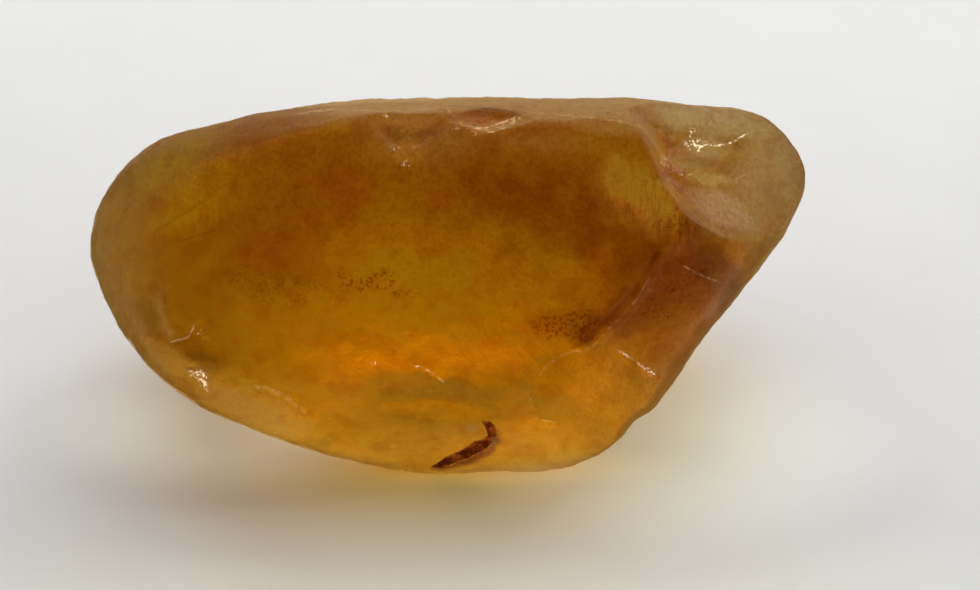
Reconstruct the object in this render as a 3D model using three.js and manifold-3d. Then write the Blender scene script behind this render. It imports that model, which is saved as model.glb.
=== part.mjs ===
// Rough chrysoberyl: one worn, see-through crystal fragment with a flat patch that it rests on.
// Millimetres, +Z up, length along X. Angles are degrees.
// The form is drawn in a leaning frame: x along the length, y up the broad face, z out of that face.
// Each direction from the middle has one reach, the least of the pebble form and its worn faces;
// the sharp hollows, the cleft and the base are then cut out of that body.
import * as THREE from 'three';
import { mergeVertices } from 'three/addons/utils/BufferGeometryUtils.js';
import Module from 'manifold-3d';

const LEAN = 52; // turn about X that brings the leaning frame upright
const CELLS = 28; // mesh cells along one edge of the cube that is blown up into the stone
const SPREAD = [10, 5.3, 4.2]; // half sizes that spread those cells evenly over a long stone

// Worn pebble form: reach of the outline against the angle round the broad face, and its depth.
const OUTLINE = [
  [0, 8.5], [10, 9.85], [17, 10.47], [24, 10.3], [30, 9.7], [36, 8.5], [48, 6.95], [60, 5.95],
  [75, 5.42], [90, 5.3], [110, 5.7], [130, 6.45], [145, 7.78], [155, 9.15], [165, 9.87],
  [174, 10.05], [183, 9.55], [195, 8.7], [205, 7.85], [218, 6.72], [235, 5.85], [250, 5.5],
  [270, 5.38], [285, 5.45], [297, 5.93], [308, 6.33], [318, 6.5], [323.5, 6.5], [328, 6.8],
  [336, 6.98], [345, 7.22], [352, 7.7],
];
const FRONT_REACH = 5.6;
const BACK_REACH = 5.2;
const FULLNESS = 2.5; // 2 is an ellipsoid, more is boxier
const NEAR_ZERO = 1e-6;

// Flat and slightly bowed faces: the way they face (turn round z, tilt towards z), how far out,
// their bow (1/radius) and how softly they meet the rest.
const FACES = [
  { name: 'broad face', turn: -95, tilt: 84, out: 3.3, bow: 0.012, soft: 0.5 },
  { name: 'lower bevel', turn: -92, tilt: 46, out: 4.1, bow: 0.015, soft: 0.45 },
  { name: 'lower left bevel', turn: -113, tilt: 33, out: 5.5, bow: 0, soft: 0.3 },
  { name: 'left cheek', turn: 180, tilt: 46, out: 7.85, bow: 0, soft: 1.4 },
  { name: 'upper left cheek', turn: 138, tilt: 48, out: 6.9, bow: 0, soft: 1.2 },
  { name: 'right face', turn: -44, tilt: 58, out: 4.68, bow: 0, soft: 0.2 },
  { name: 'right rim', turn: -34, tilt: 20, out: 6.7, bow: 0, soft: 0.6 },
  { name: 'top strip', turn: 92.5, tilt: 6, out: 5.12, bow: 0, soft: 0.14 },
  { name: 'top of the lobe', turn: 83, tilt: 8, out: 5.92, bow: 0, soft: 0.4 },
  { name: 'upper back', turn: 85, tilt: -48, out: 5.05, bow: 0.01, soft: 0.6 },
  { name: 'back face', turn: 100, tilt: -80, out: 4.6, bow: 0.01, soft: 0.7 },
  { name: 'right back', turn: 8, tilt: -46, out: 8.2, bow: 0, soft: 0.8 },
  { name: 'left back', turn: 176, tilt: -48, out: 8.1, bow: 0, soft: 0.9 },
  { name: 'heel', turn: -60, tilt: -30, out: 5.6, bow: 0, soft: 0.7 },
];
const BASE_OUT = 4.1; // distance of the flat patch below, square to the upright
const BASE_BLOCK = 30; // size of the block that cuts it
const RIM_FADE = 0.5; // height above the rim at which the marks have their full depth
const WELD = 1e-4; // corners nearer than this are one
const HEIGHT_STEPS = 40; // halvings in the search for the surface

// Shell-like hollows: the floor of the bowl, the way it opens, the radius of the ball that fits it,
// and how many times longer it is along one turn.
const SHARP_HOLLOWS = [
  {
    name: 'lobe hollow', at: [7.7, 2.75, 1.55], turn: 33, tilt: 52,
    radius: 5, along: -32, longer: 1.25,
  },
  {
    name: 'bowl in the lobe', at: [7.35, 3.6, 1.27], turn: 60, tilt: 60,
    radius: 1.6, along: -10, longer: 1.5,
  },
];
const BALL_CELL = 0.33; // mesh size of the balls that cut these
const SOFT_HOLLOWS = [
  {
    name: 'bite in the ridge', at: [1.12, 4.5, 3.15], turn: 88, tilt: 48,
    radius: 1.05, soft: 0.06, along: 0, longer: 1.9,
  },
  {
    name: 'left half of the V chip', at: [-1.55, 4.05, 3.38], turn: 60, tilt: 66,
    radius: 0.5, soft: 0.12, along: 120, longer: 2,
  },
  {
    name: 'right half of the V chip', at: [-0.65, 4.05, 3.38], turn: 130, tilt: 66,
    radius: 0.5, soft: 0.12, along: 48, longer: 2,
  },
  {
    name: 'hollow below the lip', at: [-0.6, -3.1, 2.42], turn: -92, tilt: 50,
    radius: 2.2, soft: 0.15, along: -8, longer: 2,
  },
];

// Grooves (sunk) and ribs (less than nothing) along a bent line on the front.
const MARKS = [
  { name: 'side of the bulge', line: [[2.35, -3.9], [2.3, -3.1], [2.75, -2.4]], width: 0.28, sunk: 0.1 },
  { name: 'top of the bulge', line: [[2.75, -2.4], [3.3, -2.0], [3.9, -1.85]], width: 0.25, sunk: 0.06 },
  { name: 'cheek hollow', line: [[-8.0, -0.3], [-7.9, -0.9], [-7.8, -1.5]], width: 0.35, sunk: 0.13 },
  { name: 'left chip', line: [[-7.5, -1.2], [-7.2, -1.45], [-6.8, -1.6]], width: 0.25, sunk: 0.09 },
  { name: 'bright chip', line: [[-7.2, -2.6], [-6.95, -2.7], [-6.7, -2.85]], width: 0.22, sunk: 0.1 },
  { name: 'lip', line: [[-1.95, -2.35], [-1.3, -2.45], [-0.2, -2.75]], width: 0.18, sunk: -0.05 },
];

// Lumps that no worn face is free of: their height as a share of a face's distance, and their spacing.
const FRONT_LUMP_SHARE = 0.012;
const BACK_LUMP_SHARE = 0.022;
const LUMP_SPACING = 5.5;
const HOLLOW_LUMP = 0.035;
const HOLLOW_LUMP_SPACING = 1.8;
const LUMP_BALL = 6; // size of the ball on which the lumps are read
const LUMP_WAVES = 7;
const WAVE_TURN = 2.4; // radians from one wave's direction to the next
const WAVE_TIGHTER = 0.11; // each wave is this much tighter than the one before
const WAVE_START = 1.7; // radians between the starts of two waves
const SET_START = 3.1; // the same, between two sets of waves

// Open cleft in the lower bevel: its mouth, and depth from the thin tip to the head.
const CLEFT_MOUTH = [
  [-0.45, -5.14], [-0.08, -4.84], [0.53, -4.49], [0.67, -4.35], [0.81, -4.33], [1.04, -4.19],
  [1.01, -4.07], [0.92, -3.87], [0.88, -3.78], [1.08, -3.77], [1.22, -3.91], [1.27, -4.19],
  [1.13, -4.24], [1.13, -4.4], [0.99, -4.56], [0.53, -4.84], [0.06, -5.05], [-0.17, -5.17],
];
const CLEFT_DEPTH = { tip: 0.25, head: 0.75 };
const CLEFT_SLANT = [0.25, -0.1]; // sideways travel of the cleft floor at the head
const CLEFT_RISE = 0.6; // how far the cutting body stands out of the surface

const COLOUR = 0xb46e1c;
const ROUGHNESS = 0.35;

const radians = THREE.MathUtils.degToRad;

function facing(turn, tilt) {
  const t = radians(turn);
  const s = radians(tilt);
  return new THREE.Vector3(Math.cos(s) * Math.cos(t), Math.cos(s) * Math.sin(t), Math.sin(s));
}

// Least of two values with the corner between them rounded over the given width.
function softLeast(a, b, soft) {
  const h = Math.max(soft - Math.abs(a - b), 0) / soft;
  return Math.min(a, b) - (h * h * soft) / 4;
}

// Smooth closed curve through the outline points, by angle.
function outlineReach(angle) {
  const turn = ((THREE.MathUtils.radToDeg(angle) % 360) + 360) % 360;
  const count = OUTLINE.length;
  const point = (i) => {
    const [a, reach] = OUTLINE[((i % count) + count) % count];
    return [a + 360 * Math.floor(i / count), reach];
  };
  let i = 0;
  while (i + 1 < count && OUTLINE[i + 1][0] <= turn) i += 1;
  const [aBefore, rBefore] = point(i - 1);
  const [a0, r0] = point(i);
  const [a1, r1] = point(i + 1);
  const [aAfter, rAfter] = point(i + 2);
  const gap = a1 - a0;
  const slope0 = ((r1 - rBefore) / (a1 - aBefore)) * gap;
  const slope1 = ((rAfter - r0) / (aAfter - a0)) * gap;
  const t = (turn - a0) / gap;
  const t2 = t * t;
  const t3 = t2 * t;
  return (2 * t3 - 3 * t2 + 1) * r0 + (t3 - 2 * t2 + t) * slope0
    + (3 * t2 - 2 * t3) * r1 + (t3 - t2) * slope1;
}

function pebbleReach(u) {
  const flat = Math.hypot(u.x, u.y) / outlineReach(Math.atan2(u.y, u.x));
  const thick = Math.abs(u.z) / (u.z > 0 ? FRONT_REACH : BACK_REACH);
  return (flat ** FULLNESS + thick ** FULLNESS) ** (-1 / FULLNESS);
}

// Reach to a face at the given distance, bowed like a ball of radius 1 / bow.
function faceReach(u, normal, out, bow) {
  const square = bow / 2;
  const linear = u.dot(normal) * (1 - bow * out);
  const fixed = (bow * out * out) / 2 - out;
  const inside = linear * linear - 4 * square * fixed;
  const below = linear + Math.sqrt(Math.max(inside, 0));
  return inside >= 0 && below > NEAR_ZERO ? (-2 * fixed) / below : Infinity;
}

// Centre of the ball that fits a hollow, and the direction in which it is drawn out.
function hollowBall({ at, turn, tilt, radius, along }) {
  const open = facing(turn, tilt);
  const centre = new THREE.Vector3(...at).addScaledVector(open, radius);
  const grain = facing(along, 0);
  grain.addScaledVector(open, -grain.dot(open)).normalize();
  return { centre, grain };
}

// Reach to the near side of that ball.
function hollowReach(u, hollow) {
  const { radius, longer } = hollow;
  const { centre, grain } = hollowBall(hollow);
  const squeeze = (v) => v.clone().addScaledVector(grain, (1 / longer - 1) * v.dot(grain));
  const way = squeeze(u);
  const middle = squeeze(centre);
  const square = way.lengthSq();
  const half = way.dot(middle);
  const inside = half * half - square * (middle.lengthSq() - radius * radius);
  return inside > 0 && half > 0 ? (half - Math.sqrt(inside)) / square : Infinity;
}

// Gentle lumps: crossed waves whose directions spiral round the ball.
function lumps(u, spacing, seed) {
  let sum = 0;
  for (let k = 0; k < LUMP_WAVES; k += 1) {
    const z = 1 - (2 * (k + 0.5)) / LUMP_WAVES;
    const ring = Math.sqrt(1 - z * z);
    const turn = WAVE_TURN * k + seed;
    const along = u.x * ring * Math.cos(turn) + u.y * ring * Math.sin(turn) + u.z * z;
    const pitch = ((2 * Math.PI) / spacing) * (1 + WAVE_TIGHTER * k);
    sum += Math.sin(along * LUMP_BALL * pitch + WAVE_START * k + SET_START * seed);
  }
  return sum / Math.sqrt(LUMP_WAVES);
}

function lineDistance(x, y, line) {
  let least = Infinity;
  for (let i = 0; i + 1 < line.length; i += 1) {
    const [ax, ay] = line[i];
    const dx = line[i + 1][0] - ax;
    const dy = line[i + 1][1] - ay;
    const share = ((x - ax) * dx + (y - ay) * dy) / (dx * dx + dy * dy);
    const t = THREE.MathUtils.clamp(share, 0, 1);
    least = Math.min(least, Math.hypot(x - ax - t * dx, y - ay - t * dy));
  }
  return least;
}

const faceNormals = FACES.map(({ turn, tilt }) => facing(turn, tilt));

function stoneReach(u) {
  let reach = pebbleReach(u);
  FACES.forEach(({ out, tilt, bow, soft }, i) => {
    const share = tilt > 0 ? FRONT_LUMP_SHARE : BACK_LUMP_SHARE;
    const lumpy = 1 + share * lumps(u, LUMP_SPACING, i + 1);
    reach = softLeast(reach, faceReach(u, faceNormals[i], out, bow) * lumpy, soft);
  });
  const x = u.x * reach;
  const y = u.y * reach;
  const front = THREE.MathUtils.clamp((u.z * reach) / RIM_FADE, 0, 1);
  MARKS.forEach(({ line, width, sunk }) => {
    reach -= sunk * front * Math.exp(-((lineDistance(x, y, line) / width) ** 2));
  });
  SOFT_HOLLOWS.forEach((hollow, i) => {
    const lumpy = HOLLOW_LUMP * lumps(u, HOLLOW_LUMP_SPACING, FACES.length + i + 1);
    reach = softLeast(reach, hollowReach(u, hollow) + lumpy, hollow.soft);
  });
  return reach;
}

// The six sides of a cube, each a grid of directions, blown up to the reach of the stone.
function stoneGeometry() {
  const sides = [
    (a, b) => [1, a, b], (a, b) => [-1, b, a], (a, b) => [b, 1, a],
    (a, b) => [a, -1, b], (a, b) => [a, b, 1], (a, b) => [b, a, -1],
  ];
  const points = [];
  const corners = [];
  const row = CELLS + 1;
  sides.forEach((side, n) => {
    for (let i = 0; i <= CELLS; i += 1) {
      for (let j = 0; j <= CELLS; j += 1) {
        const a = Math.tan((((2 * i) / CELLS - 1) * Math.PI) / 4);
        const b = Math.tan((((2 * j) / CELLS - 1) * Math.PI) / 4);
        const u = new THREE.Vector3(...side(a, b)).normalize();
        u.multiply(new THREE.Vector3(...SPREAD)).normalize();
        points.push(...u.multiplyScalar(stoneReach(u)).toArray());
      }
    }
    for (let i = 0; i < CELLS; i += 1) {
      for (let j = 0; j < CELLS; j += 1) {
        const p = n * row * row + i * row + j;
        corners.push(p, p + row, p + row + 1, p, p + row + 1, p + 1);
      }
    }
  });
  const geometry = new THREE.BufferGeometry();
  geometry.setAttribute('position', new THREE.Float32BufferAttribute(points, 3));
  geometry.setIndex(corners);
  return mergeVertices(geometry, WELD);
}

// Height of the front surface over a point of the leaning frame.
function surfaceHeight(x, y) {
  let low = 0;
  let high = FRONT_REACH;
  for (let step = 0; step < HEIGHT_STEPS; step += 1) {
    const z = (low + high) / 2;
    const point = new THREE.Vector3(x, y, z);
    const distance = point.length();
    if (distance < stoneReach(point.normalize())) low = z;
    else high = z;
  }
  return low;
}

// Cutting body for the cleft: its mouth stands clear of the surface, its floor slants in below it.
function cleftGeometry() {
  const [tipX] = CLEFT_MOUTH[0];
  const headX = Math.max(...CLEFT_MOUTH.map(([x]) => x));
  const points = [];
  const count = CLEFT_MOUTH.length;
  CLEFT_MOUTH.forEach(([x, y]) => points.push(x, y, surfaceHeight(x, y) + CLEFT_RISE));
  CLEFT_MOUTH.forEach(([x, y]) => {
    const share = (x - tipX) / (headX - tipX);
    const depth = THREE.MathUtils.lerp(CLEFT_DEPTH.tip, CLEFT_DEPTH.head, share);
    points.push(x + CLEFT_SLANT[0] * share, y + CLEFT_SLANT[1] * share, surfaceHeight(x, y) - depth);
  });
  const mouth = CLEFT_MOUTH.map(([x, y]) => new THREE.Vector2(x, y));
  const turnsLeft = !THREE.ShapeUtils.isClockWise(mouth);
  const corners = [];
  const add = (a, b, c) => corners.push(...(turnsLeft ? [a, b, c] : [a, c, b]));
  THREE.ShapeUtils.triangulateShape(mouth, []).forEach(([a, b, c]) => {
    corners.push(a, b, c);
    corners.push(a + count, c + count, b + count);
  });
  for (let i = 0; i < count; i += 1) {
    const next = (i + 1) % count;
    add(i, i + count, next + count);
    add(i, next + count, next);
  }
  const geometry = new THREE.BufferGeometry();
  geometry.setAttribute('position', new THREE.Float32BufferAttribute(points, 3));
  geometry.setIndex(corners);
  return geometry;
}

// Shared corners only, as a cutting body needs them.
function welded(geometry) {
  geometry.deleteAttribute('normal');
  geometry.deleteAttribute('uv');
  return mergeVertices(geometry, WELD);
}

// Drawn-out ball that breaks a hollow out along a sharp rim.
function ballGeometry(hollow) {
  const { radius, longer } = hollow;
  const { centre, grain } = hollowBall(hollow);
  const ball = welded(new THREE.IcosahedronGeometry(radius, Math.round(radius / BALL_CELL)));
  const position = ball.attributes.position;
  const point = new THREE.Vector3();
  for (let i = 0; i < position.count; i += 1) {
    point.fromBufferAttribute(position, i);
    point.addScaledVector(grain, (longer - 1) * point.dot(grain)).add(centre);
    position.setXYZ(i, point.x, point.y, point.z);
  }
  return ball;
}

// Block under the stone, level once the leaning frame is upright.
function baseGeometry() {
  const block = welded(new THREE.BoxGeometry(BASE_BLOCK, BASE_BLOCK, BASE_BLOCK));
  block.translate(0, 0, -BASE_OUT - BASE_BLOCK / 2);
  block.rotateX(-radians(LEAN));
  return block;
}

const wasm = await Module();
wasm.setup();

function toSolid(geometry) {
  return new wasm.Manifold(new wasm.Mesh({
    numProp: 3,
    vertProperties: new Float32Array(geometry.attributes.position.array),
    triVerts: new Uint32Array(geometry.index.array),
  }));
}

function toGeometry(solid) {
  const mesh = solid.getMesh();
  const geometry = new THREE.BufferGeometry();
  geometry.setAttribute('position', new THREE.BufferAttribute(mesh.vertProperties, mesh.numProp));
  geometry.setIndex(new THREE.BufferAttribute(mesh.triVerts, 1));
  return geometry;
}

// Stand the stone on its base, with the middle of its box over the origin.
function standUp(geometry) {
  geometry.rotateX(radians(LEAN));
  geometry.translate(0, 0, BASE_OUT);
  geometry.computeBoundingBox();
  const middle = geometry.boundingBox.getCenter(new THREE.Vector3());
  geometry.translate(-middle.x, -middle.y, 0);
  geometry.computeVertexNormals();
  return geometry;
}

const cutters = [...SHARP_HOLLOWS.map(ballGeometry), cleftGeometry(), baseGeometry()];
const cut = cutters.reduce((solid, cutter) => solid.subtract(toSolid(cutter)), toSolid(stoneGeometry()));
const crystal = new THREE.Mesh(
  standUp(toGeometry(cut)),
  new THREE.MeshStandardMaterial({ color: COLOUR, roughness: ROUGHNESS, metalness: 0 }),
);
crystal.name = 'rough_chrysoberyl';

const part = new THREE.Group();
part.name = 'rough_chrysoberyl_part';
part.add(crystal);

export default part;
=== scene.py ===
import math
import bpy
import bmesh
import numpy as np
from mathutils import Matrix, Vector


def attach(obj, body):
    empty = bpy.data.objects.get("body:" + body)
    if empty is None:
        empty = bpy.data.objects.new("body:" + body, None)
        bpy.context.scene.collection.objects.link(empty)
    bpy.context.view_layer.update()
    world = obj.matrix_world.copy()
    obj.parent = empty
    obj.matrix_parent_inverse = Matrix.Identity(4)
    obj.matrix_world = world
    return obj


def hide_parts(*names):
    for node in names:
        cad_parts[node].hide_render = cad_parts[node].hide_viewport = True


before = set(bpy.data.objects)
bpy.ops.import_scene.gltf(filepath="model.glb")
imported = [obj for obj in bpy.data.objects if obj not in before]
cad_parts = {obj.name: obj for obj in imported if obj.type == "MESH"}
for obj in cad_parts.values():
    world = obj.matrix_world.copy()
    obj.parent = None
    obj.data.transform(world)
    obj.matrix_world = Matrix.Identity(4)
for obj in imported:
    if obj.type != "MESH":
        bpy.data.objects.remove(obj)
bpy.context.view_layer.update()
print("frame loaded")

# The stone is drawn in a leaning frame, in mm: x along it, y up the broad face, z out of that face.
# A turn about X brings that frame upright, and a shift puts the flat patch under it on z = 0.
lean = math.radians(52)
baseOut = 4.1
boxShift = (-0.013, -0.539)
meanRadius = 6                    # the size that spacings of lumps are measured on


def uprightMetres(p):
    # leaning mm to upright metres: y' = y cos - z sin, z' = y sin + z cos, then the shift
    c, s = math.cos(lean), math.sin(lean)
    x, y, z = p[..., 0], p[..., 1], p[..., 2]
    q = [x + boxShift[0], c * y - s * z + boxShift[1], s * y + c * z + baseOut]
    return np.stack(q, -1) * 0.001


def facing(turn, tilt):
    # unit vector: turn degrees round z, tilt degrees towards z
    t, s = math.radians(turn), math.radians(tilt)
    return np.array([math.cos(s) * math.cos(t), math.cos(s) * math.sin(t), math.sin(s)])


stoneLook = {
    "cells": (216, 116, 66),      # mesh cells along x, y and z of the box that is blown up
    "spread": (10, 5.3, 3.4),     # half sizes that spread the cells evenly
    "frontReach": 5.6,
    "backReach": 5.2,
    "fullness": 2.5,              # 2 is an ellipsoid, more is boxier
    "outline": (                  # degrees round the broad face, reach
        (0, 8.5), (10, 9.85), (17, 10.47), (24, 10.3), (30, 9.7), (36, 8.5), (48, 6.95), (60, 5.95),
        (75, 5.42), (90, 5.3), (110, 5.7), (130, 6.45), (145, 7.78), (155, 9.15), (165, 9.87),
        (174, 10.05), (183, 9.55), (195, 8.7), (205, 7.85), (218, 6.72), (235, 5.85), (250, 5.5),
        (270, 5.38), (285, 5.45), (297, 5.93), (308, 6.33), (318, 6.5), (323.5, 6.5), (328, 6.8),
        (336, 6.98), (345, 7.22), (352, 7.7)),
    "faces": {                    # turn, tilt, distance, bow, softness of the edge
        "broadFace": (-95, 84, 3.3, 0.012, 0.5),
        "lowerBevel": (-92, 46, 4.1, 0.015, 0.45),
        "lowerLeftBevel": (-113, 33, 5.5, 0, 0.3),
        "leftCheek": (180, 46, 7.85, 0, 1.4),
        "upperLeftCheek": (138, 48, 6.9, 0, 1.2),
        "rightFace": (-44, 58, 4.68, 0, 0.2),
        "rightRim": (-34, 20, 6.7, 0, 0.6),
        "topStrip": (92.5, 6, 5.12, 0, 0.14),
        "topOfLobe": (83, 8, 5.92, 0, 0.4),
        "upperBack": (85, -48, 5.05, 0.01, 0.6),
        "backFace": (100, -80, 4.6, 0.01, 0.7),
        "rightBack": (8, -46, 8.2, 0, 0.8),
        "leftBack": (176, -48, 8.1, 0, 0.9),
        "heel": (-60, -30, 5.6, 0, 0.7)},
    "frontLump": 0.012,           # lumps of the worn faces, as a share of their distance
    "backLump": 0.022,
    "lumpSpacing": 5.5,
    "marks": {                    # line, width, depth (less than nothing is a rib)
        "sideOfBulge": (((2.35, -3.9), (2.3, -3.1), (2.75, -2.4)), 0.28, 0.1),
        "topOfBulge": (((2.75, -2.4), (3.3, -2.0), (3.9, -1.85)), 0.25, 0.06),
        "cheekHollow": (((-8.0, -0.3), (-7.9, -0.9), (-7.8, -1.5)), 0.35, 0.13),
        "leftChip": (((-7.5, -1.2), (-7.2, -1.45), (-6.8, -1.6)), 0.25, 0.09),
        "brightChip": (((-7.2, -2.6), (-6.95, -2.7), (-6.7, -2.85)), 0.22, 0.1),
        "lip": (((-1.95, -2.35), (-1.3, -2.45), (-0.2, -2.75)), 0.18, -0.05)},
    # floor of the bowl, turn, tilt, ball radius, softness, grain turn, stretch, lump
    "hollows": {
        "biteInRidge": ((1.12, 4.5, 3.15), 88, 48, 1.05, 0.06, 0, 1.9, 0.035),
        "leftOfVChip": ((-1.55, 4.05, 3.38), 60, 66, 0.5, 0.12, 120, 2, 0.035),
        "rightOfVChip": ((-0.65, 4.05, 3.38), 130, 66, 0.5, 0.12, 48, 2, 0.035),
        "belowLip": ((-0.6, -3.1, 2.42), -92, 50, 2.2, 0.15, -8, 2, 0.035),
        "lobeHollow": ((7.7, 2.75, 1.55), 33, 52, 5, 0.08, -32, 1.25, 0.02),
        "bowlInLobe": ((7.35, 3.6, 1.27), 60, 60, 1.6, 0.1, -10, 1.5, 0.03)},
    "hollowLumpSpacing": 1.8,
    # the hollows right of x = 7 end softly: how softly, and where towards the right and towards the top
    "lobeRunOut": {"x": 7, "soft": 1.1, "right": (7.6, 9.6), "top": (3.9, 4.9)},
}


def ramp(value, low, high):
    # 0 at low, 1 at high, smooth at both ends
    t = np.clip((value - low) / (high - low), 0, 1)
    return t * t * (3 - 2 * t)


reliefLook = {
    "lines": {                    # line, width, depth (less than nothing is a rib)
        "rightCrease": (
            ((5.91, 0.64), (5.21, -0.5), (4.79, -0.95), (4.34, -1.4), (4.03, -1.74), (3.81, -1.88),
             (3.5, -1.88), (3.17, -1.99), (2.75, -2.27), (2.55, -2.58)), 0.12, -0.045),
        "underCrease": (
            ((5.8, 0.85), (5.1, -0.3), (4.65, -0.75), (4.2, -1.2), (3.9, -1.58), (3.5, -1.68)), 0.16, 0.008),
        "bulgeNotch": (((2.27, -3.11), (2.35, -3.33), (2.49, -3.78), (2.97, -3.84)), 0.1, 0.06),
        "rightScratch": (((4.9, -1.95), (5.38, -2.28), (5.8, -2.56)), 0.1, 0.04),
        "lowerLeftCrease": (
            ((-6.55, -2.8), (-5.41, -2.89), (-4.71, -3.0), (-3.98, -3.59), (-3.28, -4.23)), 0.16, -0.035),
        "leftRidge": (((-7.98, -0.39), (-7.85, -0.9), (-7.6, -1.46)), 0.18, -0.05),
        "leftChipEdge": (((-7.55, -1.6), (-7.2, -1.42), (-6.95, -1.22), (-6.8, -1.1)), 0.1, 0.07),
        "brightChipEdge": (((-7.1, -2.42), (-6.8, -2.5), (-6.62, -2.8), (-6.7, -3.05)), 0.1, 0.08),
        "lipRight": (((-0.95, -2.22), (-0.6, -2.45), (-0.2, -2.65)), 0.12, -0.025),
        "lobeRib": (((6.5, 3.0), (7.0, 2.88), (7.6, 2.75), (8.3, 2.85)), 0.22, -0.07),
        "lobeArc": (((6.83, 3.98), (7.2, 3.83), (7.6, 3.84), (8.0, 3.97), (8.26, 4.12)), 0.11, -0.07),
        "lobeNotch": (((5.97, 4.34), (6.35, 4.26)), 0.16, 0.14),
        "lobeScratch": (((7.11, 4.9), (7.54, 4.68)), 0.08, -0.03),
        "lensLineA": (((7.62, 2.24), (7.85, 1.95), (8.26, 1.65)), 0.07, 0.03),
        "lensLineB": (((8.1, 2.5), (8.2, 2.1), (8.5, 1.8)), 0.07, 0.025),
        "leftArm": (((-1.98, 4.4), (-1.7, 4.15), (-1.38, 3.92)), 0.12, 0.09),
        "rightArm": (((0.02, 4.43), (-0.4, 4.15), (-0.84, 3.88)), 0.14, 0.09),
        "armTip": (((-1.5, 3.85), (-1.25, 3.5), (-1.05, 3.25)), 0.12, 0.06),
        "crack": (((6.61, 0.42), (7.5, 0.03)), 0.06, -0.03)},
    "lineFront": (0.1, 0.9),      # heights between which the lines come in
    "lineWander": (0.045, 0.9),   # each wander, break and change: how much, and its spacing
    "lineBreaks": (0.35, 0.7),
    "pits": 420,
    "pitRadius": (0.09, 0.24),
    "pitDepth": (0.008, 0.035),
    "unevenness": ((1.4, 0.014), (0.6, 0.008), (0.3, 0.004)),   # spacing, height
    "striae": {                   # lines along the top strip, and where they come in
        "height": 0.010, "spacing": 0.34, "bow": 0.25, "bowTurn": 0.8, "wander": (0.1, 2.5),
        "x": (6.5, 5), "y": (4.35, 4.8), "z": (3.4, 3.0)},
    "backSteps": {                # growth steps across the back
        "height": 0.04, "spacing": 1.3, "turn": 24, "tilt": 12, "wander": (0.3, 3.0), "waves": (1, 0.5, 0.3),
        "change": (0.4, 2.4), "z": (-0.6, -1.6)},
    "ripples": {                  # shell marks in the lobe, in rings round a centre
        "height": 0.006, "spacing": 0.5, "centre": (5.7, 4.6, 2.2), "wander": (0.05, 1.2),
        "x": (6.3, 7), "bottom": (1.3, 1.9), "top": (4.4, 3.6)},
}


def addLines(p, depth):
    # each line's depth * exp(-(distance / width)^2), the line wandering and broken by slow lumps
    wander = reliefLook["lineWander"]
    moved = p + np.column_stack([uneven(p, *wander, 31), uneven(p, *wander, 33), np.zeros(len(p))])
    broken = 1 + uneven(p, *reliefLook["lineBreaks"], 35)
    front = ramp(p[:, 2], *reliefLook["lineFront"])
    for line, width, sunk in reliefLook["lines"].values():
        depth += sunk * broken * front * np.exp(-((lineDistance(moved, line) / width) ** 2))


def addUnevenness(p, depth):
    # height * lumps, for a coarse, a middle and a fine spacing
    for n, (spacing, height) in enumerate(reliefLook["unevenness"]):
        depth += uneven(p, height, spacing, 41 + n, 9)


def addPits(p, depth):
    # depth * exp(-(distance from a random ray / radius)^2), on the ray's own side of the stone
    draw = np.random.default_rng(11)
    for n in range(reliefLook["pits"]):
        way = draw.normal(size=3) * np.array(stoneLook["spread"])
        radius = draw.uniform(*reliefLook["pitRadius"])
        sunk = draw.uniform(*reliefLook["pitDepth"])
        way /= np.linalg.norm(way)
        along = p @ way
        off = (p * p).sum(1) - along * along
        depth += np.where(along > 0, sunk * np.exp(-off / (radius * radius)), 0)


def addStriae(p, depth):
    # height * sin(2 pi z / spacing), z bent slowly along the strip
    look = reliefLook["striae"]
    strip = ramp(p[:, 1], *look["y"]) * ramp(np.abs(p[:, 0]), *look["x"]) * ramp(p[:, 2], *look["z"])
    wave = p[:, 2] + look["bow"] * np.sin(p[:, 0] * look["bowTurn"]) + uneven(p, *look["wander"], 51)
    depth += look["height"] * strip * np.sin(wave * 2 * math.pi / look["spacing"])


def addBackSteps(p, depth):
    # height * sum of wave * sin(n * across), across running over the back, stronger in some places
    look = reliefLook["backSteps"]
    across = p @ facing(look["turn"], look["tilt"]) + uneven(p, *look["wander"], 55)
    across = across * 2 * math.pi / look["spacing"]
    steps = sum(share * np.sin((k + 1) * across) for k, share in enumerate(look["waves"]))
    strength = 1 - look["change"][0] + uneven(p, *look["change"], 57)
    depth += look["height"] * ramp(p[:, 2], *look["z"]) * steps * strength


def addRipples(p, depth):
    # height * sin(2 pi distance / spacing), the distance from the rings' centre
    look = reliefLook["ripples"]
    lobe = ramp(p[:, 0], *look["x"]) * ramp(p[:, 1], *look["bottom"]) * ramp(p[:, 1], *look["top"])
    lobe *= ramp(p[:, 2], *reliefLook["lineFront"])
    far = np.linalg.norm(p - np.array(look["centre"]), axis=1) + uneven(p, *look["wander"], 53)
    depth += look["height"] * lobe * np.sin(far * 2 * math.pi / look["spacing"])


def fineRelief(p):
    # depth below the plain form: each kind of mark is added to it in turn
    depth = np.zeros(len(p))
    for addMarks in (addLines, addUnevenness, addPits, addStriae, addBackSteps, addRipples):
        addMarks(p, depth)
    return depth


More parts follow.
